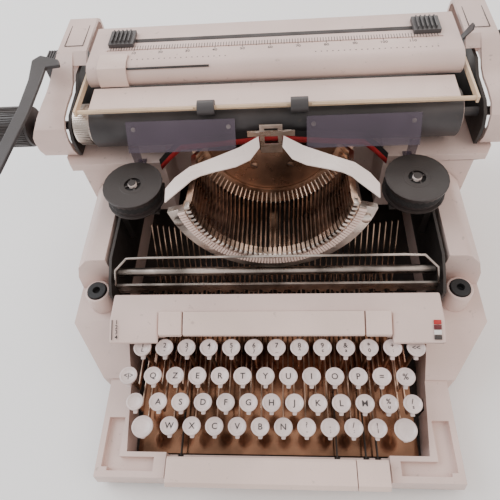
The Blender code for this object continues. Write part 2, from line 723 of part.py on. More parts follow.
def main():
    make_base_shell()
    make_bottom_pan()
    make_key_well_floor()
    make_keyboard_cover()
    make_side_plates()
    make_cross_bars()
    make_grommets()
    make_rear_cover()
    box("carriage_rail", (-185, 185), (328, 346), (133 + GAP, RAIL_TOP), "steel")
    make_key_rows()
    make_single_keys()
    make_bars()
    make_segment()
    make_type_basket()
    make_type_bars()
    make_spools()
    make_wings()
    make_ribbon()
    make_carriage_frame()
    make_platen()
    make_end_covers()
    make_paper_table()
    make_bail()
    make_levers()


main()
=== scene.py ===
"""The looks of a manual typewriter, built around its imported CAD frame."""

import math

import bmesh
import bpy
from mathutils import Matrix, Vector


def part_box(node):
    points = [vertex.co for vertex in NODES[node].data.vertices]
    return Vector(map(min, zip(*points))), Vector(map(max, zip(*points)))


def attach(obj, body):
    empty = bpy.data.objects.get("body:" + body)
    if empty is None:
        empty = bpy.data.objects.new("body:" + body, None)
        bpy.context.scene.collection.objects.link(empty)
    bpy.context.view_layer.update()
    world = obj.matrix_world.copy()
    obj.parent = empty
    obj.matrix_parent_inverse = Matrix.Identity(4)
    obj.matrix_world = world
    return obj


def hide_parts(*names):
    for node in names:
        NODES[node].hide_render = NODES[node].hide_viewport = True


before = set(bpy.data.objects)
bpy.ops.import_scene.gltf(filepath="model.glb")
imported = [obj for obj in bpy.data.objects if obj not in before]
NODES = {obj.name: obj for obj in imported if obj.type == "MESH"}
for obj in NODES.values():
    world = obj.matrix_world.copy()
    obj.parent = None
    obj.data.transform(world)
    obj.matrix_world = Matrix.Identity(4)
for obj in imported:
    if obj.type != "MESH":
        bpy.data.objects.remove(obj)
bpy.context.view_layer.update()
MM = 0.001

# ------------------------------------------------------------------- materials


def shade(name, colour, roughness, metallic=0.0, grain=0.0, grain_size=900.0, blotch=0.08,
          blotch_size=9.0, wear=0.0, stretch=(1, 1, 1), coat=0.0, spots=0.0, alpha=1.0, dust=0.0):
    """A Principled material with mottled colour, uneven gloss, fine grain and optional wear."""
    material = bpy.data.materials.new(name)
    material.use_nodes = True
    tree = material.node_tree
    shader = tree.nodes["Principled BSDF"]
    shader.inputs["Metallic"].default_value = metallic
    shader.inputs["Coat Weight"].default_value = coat
    shader.inputs["Alpha"].default_value = alpha
    place = tree.nodes.new("ShaderNodeTexCoord")
    mapping = tree.nodes.new("ShaderNodeMapping")
    mapping.inputs["Scale"].default_value = stretch
    tree.links.new(place.outputs["Object"], mapping.inputs["Vector"])

    def noise(scale, detail, vector):
        node = tree.nodes.new("ShaderNodeTexNoise")
        node.inputs["Scale"].default_value = scale
        node.inputs["Detail"].default_value = detail
        tree.links.new(vector, node.inputs["Vector"])
        return node

    def mix(factor, a, b, kind="MIX"):
        node = tree.nodes.new("ShaderNodeMix")
        node.data_type = "RGBA"
        node.blend_type = kind
        for value, slot in ((factor, 0), (a, 6), (b, 7)):
            if hasattr(value, "links"):
                tree.links.new(value, node.inputs[slot])
            else:
                node.inputs[slot].default_value = value
        return node.outputs[2]

    def ramp(source, low, high, out_low=0.0, out_high=1.0):
        node = tree.nodes.new("ShaderNodeMapRange")
        node.inputs["From Min"].default_value = low
        node.inputs["From Max"].default_value = high
        node.inputs["To Min"].default_value = out_low
        node.inputs["To Max"].default_value = out_high
        tree.links.new(source, node.inputs["Value"])
        return node.outputs[0]

    big = noise(blotch_size, 6, place.outputs["Object"])
    dark = tuple(c * (1 - 2.2 * blotch) for c in colour) + (1,)
    light = tuple(min(1, c * (1 + 1.2 * blotch)) for c in colour) + (1,)
    base = mix(ramp(big.outputs[0], 0.35, 0.65), dark, light)
    fine = noise(grain_size, 4, mapping.outputs[0])
    speck = tuple(c * 0.8 for c in colour) + (1,)
    base = mix(ramp(fine.outputs[0], 0.55, 0.8, 0, 0.5), base, speck)
    if spots:
        marks = noise(160, 8, place.outputs["Object"])
        base = mix(ramp(marks.outputs[0], 0.66, 0.74, 0, spots), base, (0.12, 0.08, 0.06, 1))
    if wear:
        geometry = tree.nodes.new("ShaderNodeNewGeometry")
        edges = ramp(geometry.outputs["Pointiness"], 0.52, 0.6, 0, wear)
        base = mix(edges, base, tuple(min(1, c * 1.9 + 0.06) for c in colour) + (1,))
    if dust:
        geometry = tree.nodes.new("ShaderNodeNewGeometry")
        parts = tree.nodes.new("ShaderNodeSeparateXYZ")
        tree.links.new(geometry.outputs["Normal"], parts.inputs[0])
        up = ramp(parts.outputs[2], 0.6, 1.0, 0, dust)
        base = mix(up, base, (0.45, 0.38, 0.33, 1))
    tree.links.new(base, shader.inputs["Base Color"])
    smear = noise(55, 5, mapping.outputs[0])
    uneven = ramp(smear.outputs[0], 0.3, 0.7, roughness - 0.08, roughness + 0.1)
    tree.links.new(uneven, shader.inputs["Roughness"])
    bump = tree.nodes.new("ShaderNodeBump")
    bump.inputs["Strength"].default_value = grain
    bump.inputs["Distance"].default_value = 0.0004
    tree.links.new(fine.outputs[0], bump.inputs["Height"])
    tree.links.new(bump.outputs[0], shader.inputs["Normal"])
    return material


BODY = shade("body_paint", (0.70, 0.535, 0.485), 0.42, grain=0.35, grain_size=1500, blotch=0.05, spots=0.35)
CREAM = shade("cream_plastic", (0.76, 0.585, 0.52), 0.36, grain=0.12, blotch=0.05, spots=0.3)
WHITE_TRIM = shade("wing_plastic", (0.82, 0.70, 0.65), 0.3, grain=0.08, blotch=0.06, spots=0.25, coat=0.1)
KEY = shade("key_plastic", (0.70, 0.585, 0.56), 0.26, grain=0.06, blotch=0.06, blotch_size=45, coat=0.25)
LEGEND = shade("key_legend", (0.035, 0.028, 0.028), 0.5, blotch=0.15)
DARK = shade("dark_frame_paint", (0.026, 0.020, 0.018), 0.5, 0.3, grain=0.25, blotch=0.25, wear=0.2,
             dust=0.04)
STEEL = shade("worn_nickel", (0.56, 0.49, 0.44), 0.30, 1.0, grain=0.15, grain_size=500, blotch=0.3,
              blotch_size=30, stretch=(1, 1, 6))
BAR = shade("typebar_steel", (0.52, 0.36, 0.27), 0.30, 1.0, grain=0.15, blotch=0.3, blotch_size=60)
BRONZE = shade("bronze_plate", (0.32, 0.185, 0.125), 0.3, 0.85, grain=0.2, blotch=0.3, blotch_size=20)
FLOOR_METAL = shade("well_floor", (0.34, 0.17, 0.10), 0.14, 0.9, grain=0.05, blotch=0.3, blotch_size=25)
BLACK = shade("black_plastic", (0.024, 0.017, 0.016), 0.4, grain=0.2, blotch=0.2, wear=0.1, dust=0.03)
GREY = shade("slate_plastic", (0.055, 0.050, 0.052), 0.42, grain=0.3, blotch=0.15, wear=0.2, dust=0.03)
RUBBER = shade("platen_rubber", (0.050, 0.043, 0.045), 0.45, grain=0.12, blotch=0.28, blotch_size=16,
               spots=0.2, dust=0.06)
GROMMET = shade("grommet_rubber", (0.015, 0.015, 0.016), 0.6, grain=0.4)
RED = shade("ribbon_red", (0.42, 0.012, 0.015), 0.75, grain=0.9, grain_size=2600, blotch=0.1)
INK = shade("ribbon_black", (0.012, 0.010, 0.010), 0.8, grain=0.9, grain_size=2600, blotch=0.2)
SCALE = shade("scale_enamel", (0.74, 0.54, 0.36), 0.3, grain=0.1, blotch=0.12)
# Dark print for ticks, numbers and panel lines; also painted shade for the slots and grooves drawn as dark
# bars.
PRINT_AND_SHADE = shade("print_and_painted_slot_shade", (0.03, 0.022, 0.02), 0.5, blotch=0.1)
CLEAR = shade("clear_sheet", (0.115, 0.085, 0.12), 0.14, grain=0.15, grain_size=300, blotch=0.15,
              alpha=0.5, coat=0.4)
ACCENT_RED = shade("selector_red", (0.45, 0.02, 0.02), 0.4, blotch=0.1)
DARK_RED = shade("selector_dark_red", (0.12, 0.01, 0.015), 0.4, blotch=0.1)
ACCENT_WHITE = shade("selector_white", (0.75, 0.72, 0.7), 0.4, blotch=0.05)

CAD_LOOKS = {
    BODY: ["base_shell", "keyboard_cover", "rear_cover", "end_cover_left", "end_cover_right", "paper_table"],
    CREAM: ["erasure_plate", "paper_guide", "tab_bar", "tab_set_key", "tab_clear_key", "space_bar",
            "half_space_bar"],
    WHITE_TRIM: ["wing_left", "wing_right"],
    DARK: ["bottom_pan", "side_plate_left", "side_plate_right", "carriage_frame", "spool_bracket_left",
           "spool_bracket_right"],
    STEEL: ["cross_rod", "comb_bar", "wire_bail", "carriage_rail", "ribbon_vibrator", "ratchet_wheel",
            "type_basket"],
    BAR: ["type_bars"],
    BRONZE: ["segment"],
    FLOOR_METAL: ["key_well_floor"],
    BLACK: ["spool_left", "spool_right", "knob_left", "knob_right"],
    GREY: ["line_space_lever", "bail_roller_left", "bail_roller_right", "margin_stop_left",
           "margin_stop_right", "release_button_left", "release_button_right", "paper_release_lever"],
    RUBBER: ["platen"],
    GROMMET: ["grommet_left", "grommet_right"],
    CLEAR: ["card_holder_left", "card_holder_right"],
    SCALE: ["paper_bail"],
    INK: ["ribbon"],
}
EDGES = {
    "base_shell": 4.0, "keyboard_cover": 2.2, "rear_cover": 3.0, "end_cover_left": 2.5,
    "end_cover_right": 2.5, "paper_table": 0.6, "space_bar": 1.6, "half_space_bar": 1.6,
    "tab_bar": 1.2, "tab_set_key": 1.2,
    "tab_clear_key": 1.2, "line_space_lever": 1.2, "paper_guide": 0.4, "wing_left": 0.3, "wing_right": 0.3,
    "knob_left": 0.8, "knob_right": 0.8, "spool_left": 0.5, "spool_right": 0.5, "card_holder_left": 0.3,
    "card_holder_right": 0.3, "margin_stop_left": 0.4, "margin_stop_right": 0.4, "grommet_left": 1.2,
    "grommet_right": 1.2, "platen": 0.8, "bail_roller_left": 0.5, "bail_roller_right": 0.5,
}


def dress(node, material):
    """A CAD node's material, with its facets welded and its edges rounded."""
    obj = NODES[node]
    obj.data.materials.clear()
    obj.data.materials.append(material)
    weld = obj.modifiers.new("weld", "WELD")
    weld.merge_threshold = 0.00001
    width = EDGES.get(node, 0.15)
    bevel = obj.modifiers.new("edges", "BEVEL")
    bevel.width = width * MM
    bevel.segments = 4 if width >= 1.2 else 2
    bevel.limit_method = "ANGLE"
    bevel.angle_limit = math.radians(34)
    bevel.use_clamp_overlap = True
    bevel.harden_normals = True
    for polygon in obj.data.polygons:
        polygon.use_smooth = True
    smooth = obj.modifiers.new("flats", "WEIGHTED_NORMAL")
    smooth.keep_sharp = True


for look, names in CAD_LOOKS.items():
    for node_name in names:
        dress(node_name, look)

for bar_name in ("space_bar", "half_space_bar"):
    bar = NODES[bar_name]
    bar.data.materials.append(DARK)
    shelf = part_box(bar_name)[1].z - 8.5 * MM
    for polygon in bar.data.polygons:
        if (bar.matrix_world @ polygon.center).z < shelf:
            polygon.material_index = 1

# --------------------------------------------------------------- mesh helpers


def piece(name, editor, body, material, smooth_angle=40):
    """A new piece from a bmesh in the row frame, riding on a body."""
    mesh = bpy.data.meshes.new(name)
    editor.normal_update()
    editor.to_mesh(mesh)
    editor.free()
    mesh.materials.append(material)
    obj = bpy.data.objects.new(name, mesh)
    bpy.context.scene.collection.objects.link(obj)
    mesh.shade_smooth()
    mesh.set_sharp_from_angle(angle=math.radians(smooth_angle))
    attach(obj, body)
    return obj


def add_block(editor, centre, size, turn=None, bevel=0.0):
    """A box, with rounded edges where bevel is given."""
    matrix = Matrix.Translation(centre) @ (turn or Matrix()) @ Matrix.Diagonal((*size, 1.0))
    verts = bmesh.ops.create_cube(editor, size=1.0, matrix=matrix)["verts"]
    if bevel:
        edges = list({edge for vert in verts for edge in vert.link_edges})
        bmesh.ops.bevel(editor, geom=edges, offset=bevel, segments=2, profile=0.6, affect="EDGES")


def add_turned(editor, matrix, profile, sides=32):
    """A turned shape through (radius, height) points, closed where it starts and ends on the axis."""
    rings = []
    for radius, height in profile:
        if radius == 0.0:
            rings.append([editor.verts.new(matrix @ Vector((0, 0, height)))])
            continue
        ring = []
        for i in range(sides):
            angle = math.tau * i / sides
            place = Vector((radius * math.cos(angle), radius * math.sin(angle), height))
            ring.append(editor.verts.new(matrix @ place))
        rings.append(ring)
    for low, high in zip(rings, rings[1:]):
        for i in range(sides):
            j = (i + 1) % sides
            if len(low) == 1:
                editor.faces.new((low[0], high[j], high[i]))
            elif len(high) == 1:
                editor.faces.new((low[i], low[j], high[0]))
            else:
                editor.faces.new((low[i], low[j], high[j], high[i]))


def arc_profile(radius, centre, start, stop, steps):
    """Points of a rounded corner for a turned profile; angles in degrees."""
    points = []
    for i in range(steps + 1):
        angle = math.radians(start + (stop - start) * i / steps)
        points.append((centre[0] + radius * math.cos(angle), centre[1] + radius * math.sin(angle)))
    return points


# ------------------------------------------------------------------------ keys

PITCH = 19.05 * MM
CAP_TALL = 6.5 * MM
LEVER_Z = 35.5 * MM
LEVER_SIZE = (1.2 * MM, 5.0 * MM)
FOOT_SIZE = (3.4 * MM, 4.6 * MM, 4.6 * MM)
FOOT_DROP = Vector((0, -5.6 * MM, -CAP_TALL - 1.2 * MM))
FOOT_TURN = Matrix.Rotation(0.45, 4, "X")
SINGLE_RADIUS = {"shift_lock_key": 7.4, "shift_key_left": 9.2, "shift_key_right": 9.2}
SINGLE_KEYS = (
    "backspace_key", "margin_release_key", "shift_lock_key", "shift_key_left", "shift_key_right",
)
ROW_LEGENDS = {
    "number_row_keys": ["1", "2", "3", "4", "5", "6", "7", "8", "9", "&", "*", "+"],
    "upper_row_keys": ["Q", "Z", "E", "R", "T", "Y", "U", "I", "O", "P", "=", "%"],
    "home_row_keys": ["A", "S", "D", "F", "G", "H", "J", "K", "L", "M", "%", "/"],
    "lower_row_keys": ["W", "X", "C", "V", "B", "N", "?", ".", "/", "!"],
}
ROW_SECOND = {
    "number_row_keys": ["L", "-", "/", "'", "(", ")", "_", "^", "c", "a", "0", ":"],
    "upper_row_keys": [""] * 12,
    "home_row_keys": [""] * 9 + ["", "u", "s"],
    "lower_row_keys": ["", "", "", "", "", "", ",", ";", ":", "1"],
}
SINGLE_LEGENDS = {"backspace_key": "<<", "margin_release_key": "<|>"}
KEY_R = 7.7 * MM
DISH = 1.3 * MM


def add_cap(editor, spot, radius):
    """A dished key cap with a rolled rim; spot is its top's centre."""
    scale = radius / KEY_R
    rim = 0.9 * MM
    profile = [(0.0, -CAP_TALL), (4.6 * MM * scale, -CAP_TALL), (5.9 * MM * scale, -CAP_TALL + 1.0 * MM)]
    profile += [(7.0 * MM * scale, -CAP_TALL + 3.4 * MM)]
    profile += arc_profile(rim, (radius - rim, -rim), -20, 110, 7)
    bowl = radius - 1.7 * MM
    profile += [(bowl * math.cos(a), -0.25 * MM - DISH * math.sin(a)) for a in (0.0, 0.35, 0.7, 1.05, 1.35)]
    profile.append((0.0, -0.25 * MM - DISH))
    start = len(editor.verts)
    add_turned(editor, Matrix.Translation(spot), profile, 40)
    editor.verts.ensure_lookup_table()
    for vert in list(editor.verts)[start:]:
        # The near side of each cap narrows a little and drops away.
        offset = vert.co - spot
        if offset.y < 0:
            vert.co.x = spot.x + offset.x * (1 - 0.10 * (offset.y / radius) ** 2)
            vert.co.z += 0.5 * MM * offset.y / radius


def add_stem(editor, lever_x, spot):
    """The flat steel shank between a cap and its lever."""
    x, y, z = spot
    tall = z - CAP_TALL - LEVER_Z
    middle = ((lever_x + x) / 2, y + 0.5 * MM, LEVER_Z + tall / 2 + 0.2 * MM)
    add_block(editor, middle, (1.6 * MM, 4.2 * MM, tall + 1.0 * MM), bevel=0.25 * MM)


def add_lever(editor, spot, back):
    """The flat lever from below a cap to the back of its node."""
    thick, tall = LEVER_SIZE
    middle = (spot.x, (spot.y + back) / 2, LEVER_Z)
    add_block(editor, middle, (thick, back - spot.y, tall), bevel=0.2 * MM)


def text_mesh(text, size):
    """A letter as flat triangles round the origin."""
    curve = bpy.data.curves.new("legend_text", "FONT")
    curve.body = text
    curve.size = size
    curve.align_x = "CENTER"
    curve.align_y = "CENTER"
    curve.resolution_u = 3
    curve.extrude = 0.00006
    curve.offset = size * 0.012
    obj = bpy.data.objects.new("legend_text", curve)
    bpy.context.scene.collection.objects.link(obj)
    bpy.context.view_layer.update()
    mesh = bpy.data.meshes.new_from_object(obj.evaluated_get(bpy.context.evaluated_depsgraph_get()))
    bpy.data.objects.remove(obj)
    return mesh


def add_text(editor, text, size, matrix):
    if not text:
        return
    mesh = text_mesh(text, size)
    mesh.transform(matrix)
    editor.from_mesh(mesh)
    bpy.data.meshes.remove(mesh)


def add_legend(editor, text, size, spot, shift, radius):
    """A legend laid into the dish of the cap at spot."""
    if not text:
        return
    mesh = text_mesh(text, size)
    bowl = radius - 1.7 * MM
    for vert in mesh.vertices:
        vert.co.xy += Vector(shift)
        reach = min(1.0, vert.co.xy.length / bowl)
        vert.co.z += 0.1 * MM - 0.25 * MM - DISH * math.sqrt(1.0 - reach * reach)
        if vert.co.y < 0:
            vert.co.z += 0.5 * MM * vert.co.y / radius
    mesh.transform(Matrix.Translation(spot))
    editor.from_mesh(mesh)
    bpy.data.meshes.remove(mesh)


def row_spots(node, count):
    """The caps' top centres, worked out from the CAD row's box."""
    low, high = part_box(node)
    first = low.x + KEY_R
    y = low.y + KEY_R
    return [Vector((first + i * PITCH, y, high.z)) for i in range(count)]


def make_keys():
    for node, legends in ROW_LEGENDS.items():
        spots = row_spots(node, len(legends))
        caps = bmesh.new()
        metal = bmesh.new()
        inks = bmesh.new()
        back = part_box(node)[1].y
        for i, spot in enumerate(spots):
            add_cap(caps, spot, KEY_R)
            add_block(caps, spot + FOOT_DROP, FOOT_SIZE, FOOT_TURN, 0.8 * MM)
            add_stem(metal, spot.x, spot)
            add_lever(metal, spot, back)
            second = ROW_SECOND[node][i]
            shift = 1.9 * MM if second else 0.0
            size = 0.0058 if second else 0.0070
            add_legend(inks, legends[i], size, spot, (0.0, shift), KEY_R)
            add_legend(inks, second, 0.0046, spot, (0.2 * MM, -2.3 * MM), KEY_R)
        caps_piece = piece(node + "_caps", caps, node, KEY)
        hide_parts(node)
        piece(node + "_levers", metal, node, BAR)
        piece(node + "_legends", inks, node, LEGEND)
    for node in SINGLE_KEYS:
        low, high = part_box(node)
        radius = SINGLE_RADIUS.get(node, 7.7) * MM
        wide = high.x - low.x
        centre_x = (low.x + high.x) / 2
        if wide > 2 * radius + 0.05 * MM:
            centre_x = low.x + radius if low.x < 0 else high.x - radius
        spot = Vector((centre_x, low.y + radius, high.z))
        caps = bmesh.new()
        add_cap(caps, spot, radius)
        add_block(caps, spot + FOOT_DROP, FOOT_SIZE, FOOT_TURN, 0.8 * MM)
        caps_piece = piece(node + "_cap", caps, node, KEY)
        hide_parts(node)
        metal = bmesh.new()
        add_stem(metal, spot.x, spot)
        add_lever(metal, spot, high.y)
        piece(node + "_lever", metal, node, BAR)
        if node in SINGLE_LEGENDS:
            inks = bmesh.new()
            add_legend(inks, SINGLE_LEGENDS[node], 0.0058, spot, (0.0, 0.0), radius)
            piece(node + "_legend", inks, node, LEGEND)


# ----------------------------------------------------------------- type basket

LEAN = math.radians(12.0)
PLATEN_R = 21.0 * MM
TYPEBARS = 44
SPREAD = math.radians(80.0)
PAD_RIBS = 76
PAD_HALF = math.radians(75.5)


def basket_matrix(forward_mm, angle=0.0):
    """The segment's frame at the print point: local Y down the basket, local Z to the typist."""
    platen_low, platen_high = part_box("platen")
    axis = (platen_low + platen_high) / 2
    print_point = Vector((0.0, axis.y - PLATEN_R, axis.z))
    forward = Vector((0.0, -math.cos(LEAN), math.sin(LEAN)))
    down = Vector((0.0, -math.sin(LEAN), -math.cos(LEAN)))
    turn = Matrix((Vector((1.0, 0.0, 0.0)), down, forward)).transposed().to_4x4()
    place = Matrix.Translation(print_point + forward * forward_mm * MM)
    return place @ turn @ Matrix.Rotation(angle, 4, "Z")


def make_basket_details():
    slugs = bmesh.new()
    for i in range(TYPEBARS):
        angle = SPREAD * (1 - 2 * i / (TYPEBARS - 1))
        matrix = basket_matrix(0, angle)
        add_block(slugs, matrix @ Vector((0, 67.4 * MM, 84.6 * MM)), (2.6 * MM, 4.4 * MM, 7.5 * MM),
                  matrix.to_3x3().to_4x4(), 0.5 * MM)
    piece("type_slugs", slugs, "case", STEEL)
    pad = bmesh.new()
    for i in range(PAD_RIBS):
        angle = PAD_HALF * (1 - 2 * (i + 0.5) / PAD_RIBS)
        matrix = basket_matrix(0, angle)
        add_block(pad, matrix @ Vector((0, 75.2 * MM, 84.6 * MM)), (2.0 * MM, 6.6 * MM, 2.2 * MM),
                  matrix.to_3x3().to_4x4(), 0.4 * MM)
    piece("rest_pad_ribs", pad, "case", CREAM)
    screws = bmesh.new()
    screw_slot_shades = bmesh.new()
    for x, down in ((-17, 33), (17, 33), (0, 50)):
        matrix = basket_matrix(0.0) @ Matrix.Translation((x * MM, down * MM, 0))
        radius = (3.6 if x else 1.6) * MM
        head = [(0, 0), (radius, 0), (radius, 0.9 * MM), (radius * 0.86, 1.3 * MM), (0, 1.45 * MM)]
        add_turned(screws, matrix, head, 24)
        if x:
            # Painted shade: a dark bar on the head stands in for the shadowed screw slot.
            add_block(screw_slot_shades, matrix @ Vector((0, 0, 1.4 * MM)), (radius * 1.7, 0.8 * MM, 0.4 * MM),
                      matrix.to_3x3().to_4x4() @ Matrix.Rotation(0.5, 4, "Z"))
    piece("segment_screws", screws, "case", BRONZE)
    piece("segment_screw_painted_shade", screw_slot_shades, "case", PRINT_AND_SHADE)
    lugs = bmesh.new()
    for side in (-1, 1):
        matrix = basket_matrix(82.5, side * math.radians(68))
        head = [(0, 0), (4.2 * MM, 0), (4.2 * MM, 1.8 * MM), (3.4 * MM, 2.4 * MM), (0, 2.6 * MM)]
        add_turned(lugs, matrix @ Matrix.Translation((0, 83 * MM, -1.4 * MM)), head, 24)
    for angle in (-40, -14, 14, 40):
        matrix = basket_matrix(81, math.radians(angle))
        head = [(0, 0), (2.2 * MM, 0), (2.0 * MM, 1.0 * MM), (0, 1.3 * MM)]
        add_turned(lugs, matrix @ Matrix.Translation((0, 83 * MM, 0)), head, 20)
    piece("basket_screws", lugs, "case", STEEL)


# --------------------------------------------------------------------- ribbons


def make_ribbon_red():
    """The red lower half of the ribbon, on the typist's side of the cloth."""
    source = NODES["ribbon"]
    editor = bmesh.new()
    editor.from_mesh(source.data)
    bmesh.ops.remove_doubles(editor, verts=editor.verts, dist=0.00001)
    columns = {}
    for vert in editor.verts:
        columns.setdefault(round(vert.co.x * 2000), []).append(vert.co.copy())
    editor.free()
    red = bmesh.new()
    rows = []
    for key in sorted(columns):
        group = columns[key]
        if len(group) < 3:
            continue
        top = max(group, key=lambda c: c.z)
        bottom = min(group, key=lambda c: c.z)
        shift = Vector((0, -0.45 * MM, 0))
        middle = bottom.lerp(top, 0.5)
        rows.append((red.verts.new(bottom + shift), red.verts.new(middle + shift)))
    for one, two in zip(rows, rows[1:]):
        red.faces.new((one[0], two[0], two[1], one[1]))
    obj = piece("ribbon_red_band", red, "case", RED)
    skin = obj.modifiers.new("cloth", "SOLIDIFY")
    skin.thickness = 0.15 * MM
    return obj


def make_spool_details():
    for word in ("left", "right"):
        low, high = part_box("spool_" + word)
        centre = Vector(((low.x + high.x) / 2, (low.y + high.y) / 2, high.z - 2 * MM))
        spokes = bmesh.new()
        for i in range(4):
            turn = Matrix.Rotation(math.tau * i / 4 + 0.4, 4, "Z")
            spot = centre + turn @ Vector((5.2 * MM, 0, -1.2 * MM))
            add_block(spokes, spot, (5 * MM, 1.6 * MM, 1.5 * MM), turn, 0.3 * MM)
        piece("spool_spokes_" + word, spokes, "spool_" + word, BLACK)
        hub = bmesh.new()
        profile = [(0, -3 * MM), (3.9 * MM, -3 * MM), (3.9 * MM, 0.6 * MM)]
        profile += arc_profile(1.0 * MM, (2.9 * MM, 0.8 * MM), 0, 90, 4) + [(0, 1.9 * MM)]
        add_turned(hub, Matrix.Translation(centre), profile, 28)
        piece("spool_hub_" + word, hub, "spool_" + word, WHITE_TRIM)
        rings = bmesh.new()
        for radius in (11.0, 25.4):
            r = radius * MM
            profile = [(r, 0), (r + 0.5 * MM, 0.16 * MM), (r + 1.0 * MM, 0)]
            add_turned(rings, Matrix.Translation(centre), profile, 56)
        piece("spool_rings_" + word, rings, "spool_" + word, BLACK)
        wound = bmesh.new()
        edge, swell = 24.3 * MM, 25.0 * MM
        foot, lid = -17 * MM, -1.8 * MM
        profile = [(0, foot), (edge, foot), (swell, -9 * MM), (edge, lid), (0, lid)]
        add_turned(wound, Matrix.Translation(centre), profile, 56)
        piece("spool_wound_ribbon_" + word, wound, "spool_" + word, INK)


# -------------------------------------------------------------------- carriage


def make_scales():
    low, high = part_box("paper_bail")
    roller_low, roller_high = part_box("bail_roller_left")
    centre = Vector((0, (roller_low.y + roller_high.y) / 2, (roller_low.z + roller_high.z) / 2))
    turn = Matrix.Rotation(math.radians(-42), 4, "X")
    normal = turn @ Vector((0, 0, 1))
    along = turn @ Vector((0, 1, 0))
    ticks = bmesh.new()
    spans = ((-0.1525, -0.067), (-0.045, 0.014), (0.036, 0.1545))
    for i in range(-59, 61):
        x = i * 2.54 * MM
        if not any(a < x < b for a, b in spans):
            continue
        tall = (6.0 if i % 10 == 0 else 4.6 if i % 5 == 0 else 3.0) * MM
        spot = centre + Vector((x, 0, 0)) + normal * 0.82 * MM - along * (5.2 * MM - tall / 2)
        add_block(ticks, spot, (0.75 * MM, tall, 0.1 * MM), turn)
    for a, b in spans:
        spot = centre + Vector(((a + b) / 2, 0, 0)) + normal * 0.82 * MM
        add_block(ticks, spot - along * 5.0 * MM, (b - a, 0.7 * MM, 0.1 * MM), turn)
    for i in range(-5, 6):
        x = i * 25.4 * MM
        if any(a + 3 * MM < x < b - 3 * MM for a, b in spans):
            spot = centre + Vector((x + 3 * MM, 0, 0)) + normal * 0.84 * MM + along * 2.4 * MM
            add_text(ticks, str(60 + i * 10), 0.0044, Matrix.Translation(spot) @ turn)
    piece("bail_scale_ticks", ticks, "paper_bail", PRINT_AND_SHADE)
    low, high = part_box("paper_table")
    marks = bmesh.new()
    top = high.z + 0.03 * MM
    row_y = low.y + 29 * MM
    for i in range(-59, 60):
        x = i * 2.54 * MM
        tall = (9.0 if i % 10 == 0 else 7.5 if i % 5 == 0 else 6.0) * MM
        add_block(marks, (x, row_y + 7 * MM - tall / 2, top), (0.6 * MM, tall, 0.08 * MM))
        if i % 10 == 0:
            add_text(marks, str(60 + i), 0.0046, Matrix.Translation((x, row_y - 4.4 * MM, top)))
        if i % 2 == 0 and abs(i) > 14:
            add_block(marks, (x, row_y - 14 * MM, top), (1.1 * MM, 1.1 * MM, 0.08 * MM))
    piece("table_scale_ticks", marks, "carriage", PRINT_AND_SHADE)


def make_card_screws():
    """A screw near each end of both clear card holders."""
    screws = bmesh.new()
    for word in ("left", "right"):
        low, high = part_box("card_holder_" + word)
        turn = Matrix.Rotation(math.radians(55), 4, "X")
        for x in (low.x + 6 * MM, high.x - 6 * MM):
            spot = Vector((x, high.y - 3.6 * MM, high.z - 6.8 * MM))
            head = [(0, -0.6), (2.2, -0.6), (2.0, 0.9), (0.9, 1.1), (0, 0.5)]
            head = [(r * MM, z * MM) for r, z in head]
            add_turned(screws, Matrix.Translation(spot) @ turn, head, 20)
    piece("card_holder_screws", screws, "case", STEEL)


